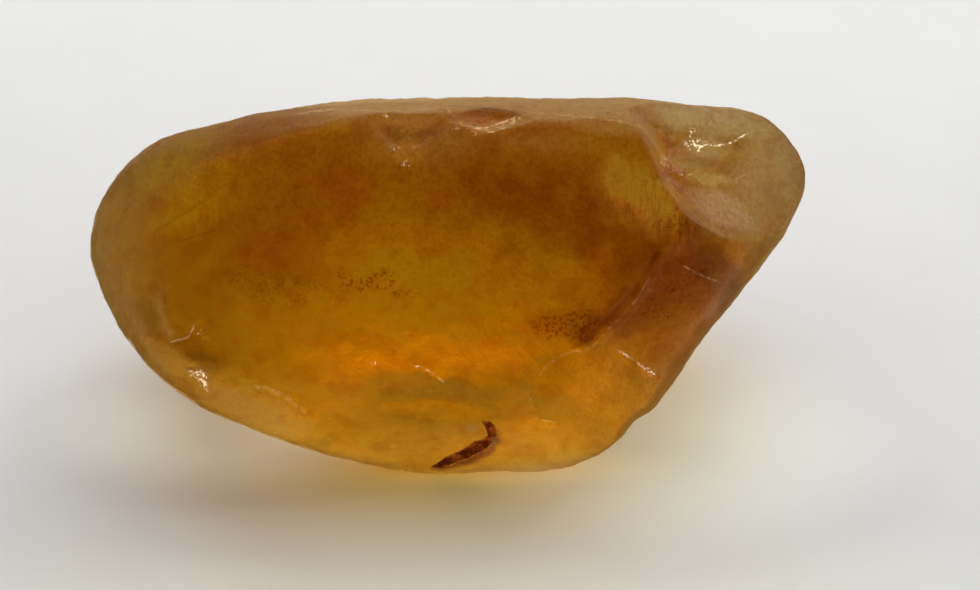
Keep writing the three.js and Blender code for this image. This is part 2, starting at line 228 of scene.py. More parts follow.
def outlineReach(angle):
    # cubic curve through the outline points, closed, with slopes taken from each point's two neighbours
    turns, reaches = np.array(stoneLook["outline"], float).T
    turns = np.concatenate([[turns[-1] - 360], turns, [360, 360 + turns[1]]])
    reaches = np.concatenate([[reaches[-1]], reaches, reaches[:2]])
    d = np.degrees(angle) % 360
    i = np.clip(np.searchsorted(turns, d, side="right") - 1, 1, len(turns) - 3)
    gap = turns[i + 1] - turns[i]
    slope0 = (reaches[i + 1] - reaches[i - 1]) / (turns[i + 1] - turns[i - 1]) * gap
    slope1 = (reaches[i + 2] - reaches[i]) / (turns[i + 2] - turns[i]) * gap
    t = (d - turns[i]) / gap
    return ((2 * t**3 - 3 * t**2 + 1) * reaches[i] + (t**3 - 2 * t**2 + t) * slope0
            + (3 * t**2 - 2 * t**3) * reaches[i + 1] + (t**3 - t**2) * slope1)


def softLeast(a, b, soft):
    # least of two, with the corner between them rounded over the width soft
    h = np.maximum(soft - np.abs(a - b), 0) / soft
    return np.minimum(a, b) - h * h * soft / 4


def faceReach(u, normal, out, bow):
    # ray from the middle to a plane, or to a large ball of radius 1 / bow that touches it
    square, linear, fixed = bow / 2, (u @ normal) * (1 - bow * out), bow * out * out / 2 - out
    inside = linear * linear - 4 * square * fixed
    below = linear + np.sqrt(np.maximum(inside, 0))
    return np.where((inside >= 0) & (below > 1e-6), -2 * fixed / np.maximum(below, 1e-6), 1e3)


def hollowReach(u, at, turn, tilt, radius, grainTurn, stretch):
    # ray from the middle to the near side of a ball drawn out along its grain
    opening = facing(turn, tilt)
    centre = np.array(at) + radius * opening
    grain = facing(grainTurn, 0)
    grain -= (grain @ opening) * opening
    grain /= np.linalg.norm(grain)
    squeeze = np.eye(3) + (1 / stretch - 1) * np.outer(grain, grain)
    way, middle = u @ squeeze, centre @ squeeze
    square, half = (way * way).sum(-1), way @ middle
    inside = half * half - square * (middle @ middle - radius * radius)
    return np.where((inside > 0) & (half > 0), (half - np.sqrt(np.maximum(inside, 0))) / square, 1e3)


def lumps(u, spacing, seed, waves=7):
    # sum of sine waves over a ball, their directions in a spiral and each a little tighter than the last
    total = np.zeros(len(u))
    for k in range(waves):
        z = 1 - 2 * (k + 0.5) / waves
        ring, turn = math.sqrt(1 - z * z), 2.4 * k + seed
        along = u @ np.array([ring * math.cos(turn), ring * math.sin(turn), z])
        total += np.sin(along * meanRadius * 2 * math.pi / spacing * (1 + 0.11 * k) + 1.7 * k + 3.1 * seed)
    return total / math.sqrt(waves)


def uneven(p, amount, spacing, seed, waves=7):
    # amount * the same sum of waves, for places in mm instead of directions
    return amount * lumps(p / meanRadius, spacing, seed, waves)


def lineDistance(p, line):
    # distance in x and y from a bent line
    least = np.full(len(p), 1e3)
    for a, b in zip(line[:-1], line[1:]):
        a, step = np.array(a), np.array(b) - np.array(a)
        t = np.clip((p[:, :2] - a) @ step / (step @ step), 0, 1)
        least = np.minimum(least, np.linalg.norm(p[:, :2] - a - t[:, None] * step, axis=1))
    return least


def pebbleReach(u):
    # least of the pebble form and the worn faces, with the marks sunk along the ray
    flat = np.hypot(u[:, 0], u[:, 1]) / outlineReach(np.arctan2(u[:, 1], u[:, 0]))
    thick = np.where(u[:, 2] > 0, u[:, 2] / stoneLook["frontReach"], -u[:, 2] / stoneLook["backReach"])
    fullness = stoneLook["fullness"]
    reach = (flat**fullness + thick**fullness) ** (-1 / fullness)
    for n, (turn, tilt, out, bow, soft) in enumerate(stoneLook["faces"].values()):
        share = stoneLook["frontLump"] if tilt > 0 else stoneLook["backLump"]
        lumpy = 1 + share * lumps(u, stoneLook["lumpSpacing"], n + 1)
        reach = softLeast(reach, faceReach(u, facing(turn, tilt), out, bow) * lumpy, soft)
    p = u * reach[:, None]
    front = np.clip(p[:, 2] * 2, 0, 1)
    for line, width, depth in stoneLook["marks"].values():
        reach = reach - depth * front * np.exp(-((lineDistance(p, line) / width) ** 2))
    return reach


def hollowed(u, reach):
    # least of the form and each hollow's ball, the lobe's hollows ending softly at the rim and the top
    runOut = stoneLook["lobeRunOut"]
    for n, (at, turn, tilt, radius, soft, grain, stretch, lump) in enumerate(stoneLook["hollows"].values()):
        lumpy = lump * lumps(u, stoneLook["hollowLumpSpacing"], len(stoneLook["faces"]) + n + 1)
        if at[0] > runOut["x"]:
            p = u * reach[:, None]
            share = np.maximum(ramp(p[:, 0], *runOut["right"]), ramp(p[:, 1], *runOut["top"]))
            soft = soft + runOut["soft"] * share
        reach = softLeast(reach, hollowReach(u, at, turn, tilt, radius, grain, stretch) + lumpy, soft)
    return reach


def stoneReach(u):
    # least of the hollowed, marked form and the flat patch it lies on
    down = np.array([0, -math.sin(lean), -math.cos(lean)])
    reach = hollowed(u, pebbleReach(u))
    reach = reach - fineRelief(u * reach[:, None])
    return np.minimum(reach, faceReach(u, down, baseOut, 0))


def boxLattice(cells):
    # each point of a box's surface lattice once, and the quads between them, all facing outwards
    corners, quads, count = [], [], 0
    for axis in range(3):
        a, b = (axis + 1) % 3, (axis + 2) % 3
        i, j = np.meshgrid(np.arange(cells[a] + 1), np.arange(cells[b] + 1), indexing="ij")
        for side in (1, -1):
            corner = np.empty(i.shape + (3,), int)
            corner[..., axis] = side * cells[axis]
            corner[..., a] = 2 * i - cells[a]
            corner[..., b] = 2 * j - cells[b]
            index = count + np.arange(i.size).reshape(i.shape)
            around = [index[:-1, :-1], index[1:, :-1], index[1:, 1:], index[:-1, 1:]][::side]
            corners.append(corner.reshape(-1, 3))
            quads.append(np.stack(around, -1).reshape(-1, 4))
            count += i.size
    points, shared = np.unique(np.concatenate(corners), axis=0, return_inverse=True)
    return points / np.array(cells), shared.reshape(-1)[np.concatenate(quads)]


def meshFrom(name, points, faces):
    mesh = bpy.data.meshes.new(name)
    mesh.from_pydata(points.tolist(), [], faces.tolist())
    mesh.validate()
    mesh.update()
    return mesh


def makeStone():
    # direction = tangent-spaced cube lattice, stretched to the stone's sizes; point = direction * reach
    lattice, quads = boxLattice(stoneLook["cells"])
    u = np.tan(lattice * math.pi / 4)
    u /= np.linalg.norm(u, axis=1, keepdims=True)
    u *= np.array(stoneLook["spread"])
    u /= np.linalg.norm(u, axis=1, keepdims=True)
    mesh = meshFrom("roughChrysoberyl", uprightMetres(u * stoneReach(u)[:, None]), quads)
    stone = bpy.data.objects.new("roughChrysoberyl", mesh)
    bpy.context.scene.collection.objects.link(stone)
    return stone


cleftLook = {
    "mouth": (                    # outline of the open cleft in the lower bevel
        (-0.45, -5.14), (-0.08, -4.84), (0.53, -4.49), (0.67, -4.35), (0.81, -4.33), (1.04, -4.19),
        (1.01, -4.07), (0.92, -3.87), (0.88, -3.78), (1.08, -3.77), (1.22, -3.91), (1.27, -4.19),
        (1.13, -4.24), (1.13, -4.4), (0.99, -4.56), (0.53, -4.84), (0.06, -5.05), (-0.17, -5.17)),
    "depth": (0.25, 0.75),        # at the tip and at the head
    "slant": (0.25, -0.1),        # sideways travel of the floor at the head
    "rise": 0.6,                  # the cutting body stands this far out
    "halvings": 30,               # steps of the search for the surface
}


def surfaceHeight(p):
    # height of the front surface over each x, y: halving between 0 and the front reach
    low, high = np.zeros(len(p)), np.full(len(p), stoneLook["frontReach"])
    for step in range(cleftLook["halvings"]):
        z = (low + high) / 2
        point = np.column_stack([p, z])
        distance = np.linalg.norm(point, axis=1)
        inside = distance < stoneReach(point / distance[:, None])
        low, high = np.where(inside, z, low), np.where(inside, high, z)
    return low


def cutCleft(stone, stain):
    # the mouth carried from above the surface to a floor that deepens and slants towards the head
    mouth = np.array(cleftLook["mouth"])
    height = surfaceHeight(mouth)
    share = (mouth[:, :1] - mouth[0, 0]) / (mouth[:, 0].max() - mouth[0, 0])
    depth = cleftLook["depth"][0] + share[:, 0] * (cleftLook["depth"][1] - cleftLook["depth"][0])
    top = np.column_stack([mouth, height + cleftLook["rise"]])
    floor = np.column_stack([mouth + share * np.array(cleftLook["slant"]), height - depth])
    count = len(mouth)
    mesh = bpy.data.meshes.new("cleftCutter")
    walls = [(i, (i + 1) % count, (i + 1) % count + count, i + count) for i in range(count)]
    ends = [tuple(range(count))[::-1], tuple(range(count, 2 * count))]
    mesh.from_pydata(uprightMetres(np.concatenate([top, floor])).tolist(), [], walls + ends)
    mesh.materials.append(stain)
    cutter = bpy.data.objects.new("cleftCutter", mesh)
    bpy.context.scene.collection.objects.link(cutter)
    recalculateOutwards(mesh)
    cut = stone.modifiers.new("cleft", "BOOLEAN")
    cut.operation = "DIFFERENCE"
    cut.solver = "EXACT"
    cut.material_mode = "TRANSFER"
    cut.object = cutter
    bpy.context.view_layer.update()
    cutMesh = bpy.data.meshes.new_from_object(stone.evaluated_get(bpy.context.evaluated_depsgraph_get()))
    stone.modifiers.clear()
    stone.data = cutMesh
    cutMesh.name = "roughChrysoberyl"
    bpy.data.objects.remove(cutter)


def recalculateOutwards(mesh):
    shell = bmesh.new()
    shell.from_mesh(mesh)
    bmesh.ops.recalc_face_normals(shell, faces=shell.faces)
    shell.to_mesh(mesh)
    shell.free()


class Nodes:
    # short hand for a node tree: add a node with its settings and sockets, and link by socket name
    def __init__(self, tree):
        self.tree = tree

    def add(self, kind, sockets=None, **settings):
        node = self.tree.nodes.new("ShaderNode" + kind)
        for name, value in settings.items():
            setattr(node, name, value)
        for name, value in (sockets or {}).items():
            self.feed(node, name, value)
        return node

    def feed(self, node, name, value):
        socket = node.inputs[name]
        if isinstance(value, bpy.types.NodeSocket):
            self.tree.links.new(value, socket)
        else:
            socket.default_value = value

    def math(self, operation, a, b=0.0):
        return self.add("Math", {0: a, 1: b}, operation=operation).outputs[0]

    def noise(self, vector, scale, detail=2.0, roughness=0.5):
        sockets = {"Vector": vector, "Scale": scale, "Detail": detail, "Roughness": roughness}
        return self.add("TexNoise", sockets).outputs["Fac"]

    def ramp(self, value, low, high, outLow=0.0, outHigh=1.0):
        node = self.add("MapRange", {"Value": value, "From Min": low, "From Max": high,
                                     "To Min": outLow, "To Max": outHigh})
        node.interpolation_type = "SMOOTHSTEP"
        return node.outputs["Result"]

    def mix(self, share, a, b, blend="MIX"):
        node = self.add("Mix", data_type="RGBA", blend_type=blend)
        for socket, value in ((0, share), (6, a), (7, b)):
            self.feed(node, socket, value)
        return node.outputs[2]


def newGroup(name, inputs, outputs):
    group = bpy.data.node_groups.new(name, "ShaderNodeTree")
    for socketName, kind, default in inputs:
        socket = group.interface.new_socket(socketName, in_out="INPUT", socket_type="NodeSocket" + kind)
        socket.default_value = default
    for socketName, kind in outputs:
        group.interface.new_socket(socketName, in_out="OUTPUT", socket_type="NodeSocket" + kind)
    return group, Nodes(group)


skinNoise = {                     # detail and roughness
    "pits": (2.5, 0.62),
    "slow": (1.5, 0.5),
}


def makeSkinGroup():
    # height of a frosted skin: fine pits over a slower unevenness
    group, n = newGroup("frostedSkin", [
        ("Place", "Vector", (0, 0, 0)), ("Pit Scale", "Float", 8), ("Slow Scale", "Float", 1.2),
        ("Pit Share", "Float", 0.5)], [("Height", "Float"), ("Pits", "Float"), ("Mottle", "Float")])
    into, out = group.nodes.new("NodeGroupInput").outputs, group.nodes.new("NodeGroupOutput")
    pits = n.noise(into["Place"], into["Pit Scale"], *skinNoise["pits"])
    slow = n.noise(into["Place"], into["Slow Scale"], *skinNoise["slow"])
    node = n.add("Mix", {0: into["Pit Share"], 2: slow, 3: pits}, data_type="FLOAT")
    for name, socket in (("Height", node.outputs[0]), ("Pits", pits), ("Mottle", slow)):
        group.links.new(socket, out.inputs[name])
    return group


frostedSkin = makeSkinGroup()
print("node groups made")


def leaningPlace(n):
    # Object coordinates turned back into the leaning frame, in mm
    coordinates = n.add("TexCoord").outputs["Object"]
    c, s = math.cos(lean), math.sin(lean)
    x, y, z = boxShift[0], boxShift[1], baseOut
    back = (-x, -(c * y + s * z), -(-s * y + c * z))
    mapping = n.add("Mapping", {"Vector": coordinates, "Location": back, "Rotation": (-lean, 0, 0),
                                "Scale": (1000, 1000, 1000)}, vector_type="POINT")
    return mapping.outputs["Vector"]


def freshMaterial(name):
    material = bpy.data.materials.new(name)
    material.use_nodes = True
    material.node_tree.nodes.clear()
    return material, Nodes(material.node_tree)


crystalLook = {
    "ior": 1.75,
    "transmission": 1.0,
    "bodyColour": (0.955, 0.85, 0.0, 1),   # absorption colour of the volume
    "bodyDensity": 800.0,                  # per metre
    "skin": (1.0, 0.77, 0.85, 1),          # tint at each crossing of the surface, and its darker mottle
    "skinDark": (0.70, 0.42, 0.42, 1),
    "cloud": (0.82, 0.64, 0.5, 1),         # slower red-brown clouds
    "speck": (0.34, 0.16, 0.12, 1),
    "streak": (2.1, 2.2, 2.2, 1),
    # dark lines darken the tint, along cracks and as painted shade; pale lines are painted highlights and
    # sparks painted glints, both added to the glow
    "darkLine": (0.4, 0.28, 0.25, 1),
    "paleLine": (0.34, 0.24, 0.12, 1),
    "spark": (0.9, 0.8, 0.6, 1),
    "paintedGlowPits": (0.55, 0.5, 0.45, 1),      # the painted glow inside the pits
    "pits": (("Pit Scale", 8.5), ("Slow Scale", 1.6), ("Pit Share", 0.6)),
    "grain": (11.0, 1.0, 0.6),             # scale, detail and roughness of each noise
    "hair": (1.0, 2.0, 0.65),
    "hairTurn": 8,
    "hairSqueeze": (8.0, 1.3, 1.0),
    "lineBreaks": (5.5, 1.0, 0.6),
    "ranges": {                            # noise from which and to which each mottle comes in
        "skinDark": (0.38, 0.66),
        "cloud": (0.46, 0.66),
        "speck": (0.48, 0.62),
        "streak": (0.44, 0.6),
        "paleLine": (0.42, 0.58, 0.12, 1.0),
        "paleLinePits": (0.3, 0.6, 1.0, 0.55),
        "paintedGlowPits": (0.3, 0.65),
        "spark": (0.56, 0.62),
        "sparkLine": (0.42, 0.58, 0.05, 1.0),
        "roughness": (0.35, 0.65, 0.38, 0.5)},   # the last two: clearer and more frosted parts of the skin
    "frontHeight": (-0.2, 0.8),
    "lineEdge": (1.0, 0.3),                # in half widths
    "roughBack": 0.8,
    "roughVeil": 0.9,
    "roughFresh": 0.36,
    "roughRim": 0.1,
    "reflection": (1.0, 0.28, 0.01, 1),    # tint of the reflection straight on
    "sheen": 0.5,                          # yellow light along the thin edges
    "sheenTint": (1.0, 0.66, 0.16, 1),
    "sheenRoughness": 0.2,
    "bump": 0.5,
    "bumpDistance": 0.00005,
    "masks": (
        "veil", "fresh", "grainy", "specks", "gold", "rim", "spark", "paleSide", "paleNear", "darkSide",
        "darkNear", "sparkSide", "sparkNear"),
}


def crystalSkin(n, place):
    # noises of the skin, and the height that marks the front
    look = crystalLook
    skin = n.add("Group", node_tree=frostedSkin)
    for name, value in (("Place", place), *look["pits"]):
        n.feed(skin, name, value)
    noises = {name: skin.outputs[name] for name in ("Pits", "Mottle", "Height")}
    noises["Grain"] = n.noise(place, *look["grain"])
    hair = n.add("Mapping", {"Vector": place, "Rotation": (0, 0, math.radians(look["hairTurn"])),
                             "Scale": look["hairSqueeze"]})
    noises["Hair"] = n.noise(hair.outputs["Vector"], *look["hair"])
    noises["Breaks"] = n.noise(place, *look["lineBreaks"])
    noises["Front"] = n.ramp(n.add("SeparateXYZ", {"Vector": place}).outputs["Z"], *look["frontHeight"])
    return noises


def crystalLines(n, masks, noises):
    # how much of a dark, pale or spark line is at each place: soft at its edge, the last two broken by noise
    ranges = crystalLook["ranges"]
    lines = {}
    for kind in ("dark", "pale", "spark"):
        off = n.math("ABSOLUTE", masks[kind + "Side"])
        lines[kind] = n.math("MULTIPLY", n.ramp(off, *crystalLook["lineEdge"]), masks[kind + "Near"])
    for kind, noise in (("pale", "Breaks"), ("spark", "Grain")):
        lines[kind] = n.math("MULTIPLY", lines[kind], n.ramp(noises[noise], *ranges[kind + "Line"]))
    return lines


def crystalTint(n, masks, noises, lines):
    # skin, mottle and clouds, times the painted zones of light and shade seen through the stone, the specks,
    # the golden hairs and the dark lines
    look, ranges = crystalLook, crystalLook["ranges"]
    dark = n.math("MULTIPLY", n.ramp(noises["Pits"], *ranges["skinDark"]), masks["grainy"])
    cloud = n.math("MULTIPLY", n.ramp(noises["Mottle"], *ranges["cloud"]), noises["Front"])
    dots = n.math("MULTIPLY", n.ramp(noises["Grain"], *ranges["speck"]), masks["specks"])
    hairs = n.math("MULTIPLY", n.ramp(noises["Hair"], *ranges["streak"]), masks["gold"])
    zones = n.add("Attribute", attribute_name="tint").outputs["Color"]
    colour = n.mix(dark, look["skin"], look["skinDark"])
    for share, tint in ((cloud, look["cloud"]), (1.0, zones), (dots, look["speck"]), (hairs, look["streak"]),
                        (lines["dark"], look["darkLine"])):
        colour = n.mix(share, colour, tint, "MULTIPLY")
    return colour


def crystalRoughness(n, masks, noises):
    # rougher where the skin stands high, then what the veil, fresh breaks, the back and the rim bring
    look = crystalLook
    back = n.math("SUBTRACT", 1.0, noises["Front"])
    rough = n.ramp(noises["Height"], *look["ranges"]["roughness"])
    for share, value in ((masks["veil"], look["roughVeil"]), (masks["fresh"], look["roughFresh"]),
                         (back, look["roughBack"]), (masks["rim"], look["roughRim"])):
        rough = n.add("Mix", {0: share, 2: rough, 3: value}, data_type="FLOAT").outputs[0]
    return rough


def crystalGlow(n, masks, noises, lines):
    # painted glow, as emission, for light scattered by the skin: its painted colour, duller in the pits, plus
    # pale lines (painted highlights) and sparks (painted glints)
    look, ranges = crystalLook, crystalLook["ranges"]
    paintedGlow = n.add("Attribute", attribute_name="paintedGlow").outputs["Color"]
    glow = n.mix(n.ramp(noises["Pits"], *ranges["paintedGlowPits"]), paintedGlow, look["paintedGlowPits"], "MULTIPLY")
    pale = n.math("MULTIPLY", lines["pale"], n.ramp(noises["Pits"], *ranges["paleLinePits"]))
    glow = n.mix(pale, glow, look["paleLine"], "ADD")
    sparks = n.math("MULTIPLY", n.ramp(noises["Grain"], *ranges["spark"]), masks["spark"])
    return n.mix(n.math("MAXIMUM", sparks, lines["spark"]), glow, look["spark"], "ADD")


def makeCrystal():
    # see-through crystal: plain transmission and index on the skin, absorption in the body; painted light and
    # shade in its tint, and a painted glow as emission
    material, n = freshMaterial("amberCrystal")
    look = crystalLook
    noises = crystalSkin(n, leaningPlace(n))
    masks = {name: n.add("Attribute", attribute_name=name).outputs["Fac"] for name in look["masks"]}
    lines = crystalLines(n, masks, noises)
    bump = n.add("Bump", {
        "Strength": look["bump"], "Distance": look["bumpDistance"], "Height": noises["Pits"]})
    shader = n.add("BsdfPrincipled", {
        "Base Color": crystalTint(n, masks, noises, lines), "Roughness": crystalRoughness(n, masks, noises),
        "IOR": look["ior"], "Metallic": 0.0, "Transmission Weight": look["transmission"],
        "Specular Tint": look["reflection"], "Sheen Weight": look["sheen"], "Sheen Tint": look["sheenTint"],
        "Sheen Roughness": look["sheenRoughness"], "Emission Color": crystalGlow(n, masks, noises, lines),
        "Emission Strength": 1.0, "Normal": bump.outputs["Normal"]}, distribution="GGX")
    volume = n.add("VolumeAbsorption", {"Color": look["bodyColour"], "Density": look["bodyDensity"]})
    out = n.add("OutputMaterial")
    n.feed(out, "Surface", shader.outputs["BSDF"])
    n.feed(out, "Volume", volume.outputs["Volume"])
    return material


stainLook = {
    "dark": (0.20, 0.045, 0.005, 1),
    "rust": (0.75, 0.26, 0.04, 1),
    "rustFrom": (0.4, 0.62),
    "glowDark": (0.035, 0.006, 0.001, 1),  # painted amber light, as emission, for light that comes through the walls
    "glowRust": (0.14, 0.035, 0.004, 1),
    "glowFrom": (0.42, 0.6),
    "roughness": (0.3, 0.7, 0.6, 0.9),
    "pits": (("Pit Scale", 9.0), ("Slow Scale", 2.5), ("Pit Share", 0.4)),
    "bump": 0.6,
    "bumpDistance": 0.00008,
}


def makeStain():
    # iron stain in the cleft, rust coloured where the skin stands high, with a painted amber glow as emission
    material, n = freshMaterial("ironStain")
    look = stainLook
    skin = n.add("Group", node_tree=frostedSkin)
    for name, value in (("Place", leaningPlace(n)), *look["pits"]):
        n.feed(skin, name, value)
    height = skin.outputs["Height"]
    bump = n.add("Bump", {"Strength": look["bump"], "Distance": look["bumpDistance"], "Height": height})
    shader = n.add("BsdfPrincipled", {
        "Base Color": n.mix(n.ramp(height, *look["rustFrom"]), look["dark"], look["rust"]),
        "Roughness": n.ramp(height, *look["roughness"]), "Normal": bump.outputs["Normal"],
        "Emission Color": n.mix(n.ramp(height, *look["glowFrom"]), look["glowDark"], look["glowRust"]),
        "Emission Strength": 1.0})
    n.feed(n.add("OutputMaterial"), "Surface", shader.outputs["BSDF"])
    return material


def vertexValues(mesh, name):
    flat = np.empty(len(mesh.vertices) * 3)
    mesh.vertices.foreach_get(name, flat)
    return flat.reshape(-1, 3)


def leanBack(q):
    # upright to leaning, without the shift: y = y' cos + z' sin, z = z' cos - y' sin
    c, s = math.cos(lean), math.sin(lean)
    return np.column_stack([q[:, 0], c * q[:, 1] + s * q[:, 2], -s * q[:, 1] + c * q[:, 2]])


# zones seen inside, painted on the front skin, as painted light and shade of the light through the stone
# (darker above and at the rims, brighter in the core, shaded in creases and hollows) and as its own colour
# clouds: centre, size, turn, feather, warp, tint, strength
zoneLook = {
    "upper": ((-0.5, 3.4), (11.5, 3.6), -3, 0.8, 0.5, (0.75, 0.47, 0.3), 1.0),
    "leftHalf": ((-7.0, 0.8), (4.6, 3.6), 0, 0.8, 0.5, (0.72, 0.52, 0.35), 0.9),
    "upperDark": ((2.2, 2.3), (3.8, 1.9), -18, 0.9, 0.7, (0.48, 0.20, 0.12), 0.9),
    "upperLeft": ((-3.8, 2.4), (2.8, 1.9), 8, 0.9, 0.7, (0.7, 0.38, 0.2), 0.8),
    "innerRight": ((4.6, 1.1), (2.2, 1.6), -30, 0.8, 0.6, (0.42, 0.13, 0.1), 0.9),
    "rightBrown": ((6.35, 0.2), (2.5, 1.9), 40, 0.8, 0.3, (0.23, 0.09, 0.0), 1.0),
    "rightAmber": ((6.6, -0.3), (3.2, 2.9), 40, 0.7, 0.4, (0.86, 0.43, 0.1), 1.0),
    "underRight": ((4.6, -0.9), (1.6, 1.0), 20, 0.7, 0.5, (0.35, 0.10, 0.08), 0.8),
    "creaseShade": ((4.3, -1.0), (1.5, 0.4), 47, 0.7, 0.2, (0.6, 0.35, 0.3), 0.8),
    "rightSpecks": ((3.4, -1.15), (1.6, 0.6), 2, 0.7, 0.4, (0.62, 0.36, 0.3), 0.85),
    "middleDark": ((-3.3, 0.1), (3.2, 0.6), -8, 0.8, 0.5, (0.75, 0.52, 0.4), 0.8),
    "leftRed": ((-4.3, 0.9), (2.2, 1.0), -5, 0.9, 0.6, (0.8, 0.6, 0.5), 0.8),
    "leftRusty": ((-5.0, 0.9), (2.9, 1.6), 10, 0.9, 0.5, (0.86, 0.55, 0.8), 1.0),
    "amberCore": ((-0.9, -0.1), (3.6, 2.0), -6, 0.9, 0.4, (1.45, 1.44, 1.5), 1.0),
    "amberLow": ((-1.5, -1.8), (3.4, 0.9), 0, 0.8, 0.3, (1.0, 1.1, 1.6), 0.9),
    "lowerBright": ((0.6, -3.2), (4.2, 1.6), 0, 0.8, 0.3, (0.5, 0.62, 1.0), 1.0),
    "midRed": ((4.0, 0.25), (1.4, 1.3), 0, 0.8, 0.4, (0.97, 0.7, 0.9), 1.0),
    "leftLow": ((-5.2, -1.7), (2.6, 1.3), -10, 0.8, 0.4, (1.3, 1.3, 2.5), 0.9),
    "oliveWindow": ((-7.0, 2.4), (1.9, 0.7), 42, 0.5, 0.2, (1.5, 2.0, 1.2), 1.0),
    "goldPatch": ((5.15, 2.7), (1.3, 0.85), -38, 0.7, 0.4, (2.1, 2.1, 3.0), 0.9),
    "goldLow": ((5.95, 1.85), (0.9, 0.42), -32, 0.7, 0.3, (1.6, 1.8, 2.0), 0.8),
    "leftDim": ((-9.2, 0.8), (2.2, 3.6), 5, 0.8, 0.3, (0.97, 0.96, 0.65), 0.7),
    "rightRimDim": ((7.6, 0.1), (0.75, 2.8), 32, 0.6, 0.2, (0.32, 0.24, 0.1), 0.9),
    "stripedPatch": ((-6.6, -2.15), (0.95, 0.38), -12, 0.6, 0.15, (0.36, 0.36, 0.3), 0.95),
    "underLip": ((-0.3, -3.2), (3.0, 0.7), -4, 0.8, 0.4, (0.72, 0.8, 0.6), 0.9),
    "bottomBevel": ((-1.4, -4.05), (3.4, 0.85), 2, 0.6, 0.2, (0.5, 0.62, 1.0), 1.0),
    "rightBevel": ((5.0, -3.2), (1.8, 1.0), 42, 0.7, 0.2, (0.8, 0.9, 1.0), 0.9),
    "bulgeShade": ((2.6, -2.5), (1.6, 0.6), 0, 0.8, 0.3, (0.72, 0.78, 0.8), 1.0),
    "belowGold": ((6.0, 1.65), (0.5, 0.3), -30, 0.7, 0.1, (0.55, 0.4, 0.4), 0.8),
    "rustEdge": ((5.95, 3.75), (0.22, 0.75), 8, 0.6, 0.1, (1.2, 0.7, 0.1), 0.9),
    "rustLow": ((6.25, 3.2), (0.4, 0.22), -10, 0.6, 0.1, (1.3, 0.85, 0.1), 0.8),
    "lobeNotch": ((6.2, 4.3), (0.3, 0.14), -8, 0.6, 0.05, (0.3, 0.3, 0.35), 0.8),
    "lobeOliveBand": ((7.1, 3.3), (0.85, 0.2), -4, 0.7, 0.1, (0.5, 0.5, 0.35), 0.8),
    "lobeOliveA": ((8.9, 2.65), (0.7, 0.3), 5, 0.8, 0.2, (0.75, 0.75, 0.4), 0.7),
    "lobeOliveB": ((9.2, 2.2), (0.4, 0.5), -20, 0.8, 0.2, (0.8, 0.8, 0.4), 0.7),
    "vLeftFacet": ((-1.5, 4.08), (0.52, 0.24), -40, 0.6, 0.08, (0.62, 0.34, 0.12), 0.95),
    "vRightFacet": ((-0.48, 4.13), (0.72, 0.22), 28, 0.6, 0.08, (0.62, 0.32, 0.10), 0.95),
    "vLight": ((-1.0, 3.5), (0.75, 0.4), 5, 0.7, 0.1, (1.35, 1.6, 1.3), 0.8),
    "vLightLeft": ((-2.0, 3.7), (0.5, 0.22), -30, 0.7, 0.1, (1.2, 1.4, 1.3), 0.8),
    "biteInside": ((1.25, 4.62), (0.95, 0.2), -4, 0.4, 0.03, (0.6, 0.42, 0.2), 0.9),
    "leftOliveSpots": ((-8.25, -1.0), (0.45, 0.85), 22, 0.7, 0.25, (0.52, 0.5, 0.45), 0.9),
}
patchFront = (0, 0.6)             # heights between which the drawn patches and lines come in
patchWander = ((0.4, 1.4, 61), (0.15, 0.5, 65))     # how their edges move: how far, spacing, seed
# red-brown clouds on the back
backCloudLook = {
    "tint": (0.84, 0.72, 0.55),
    "coarse": (1, 2.0),           # share and spacing of the lumps
    "fine": (0.5, 0.7),
    "from": (0.3, 1.5),           # lumps and heights where the clouds come in
    "height": (0.2, -0.8),
}
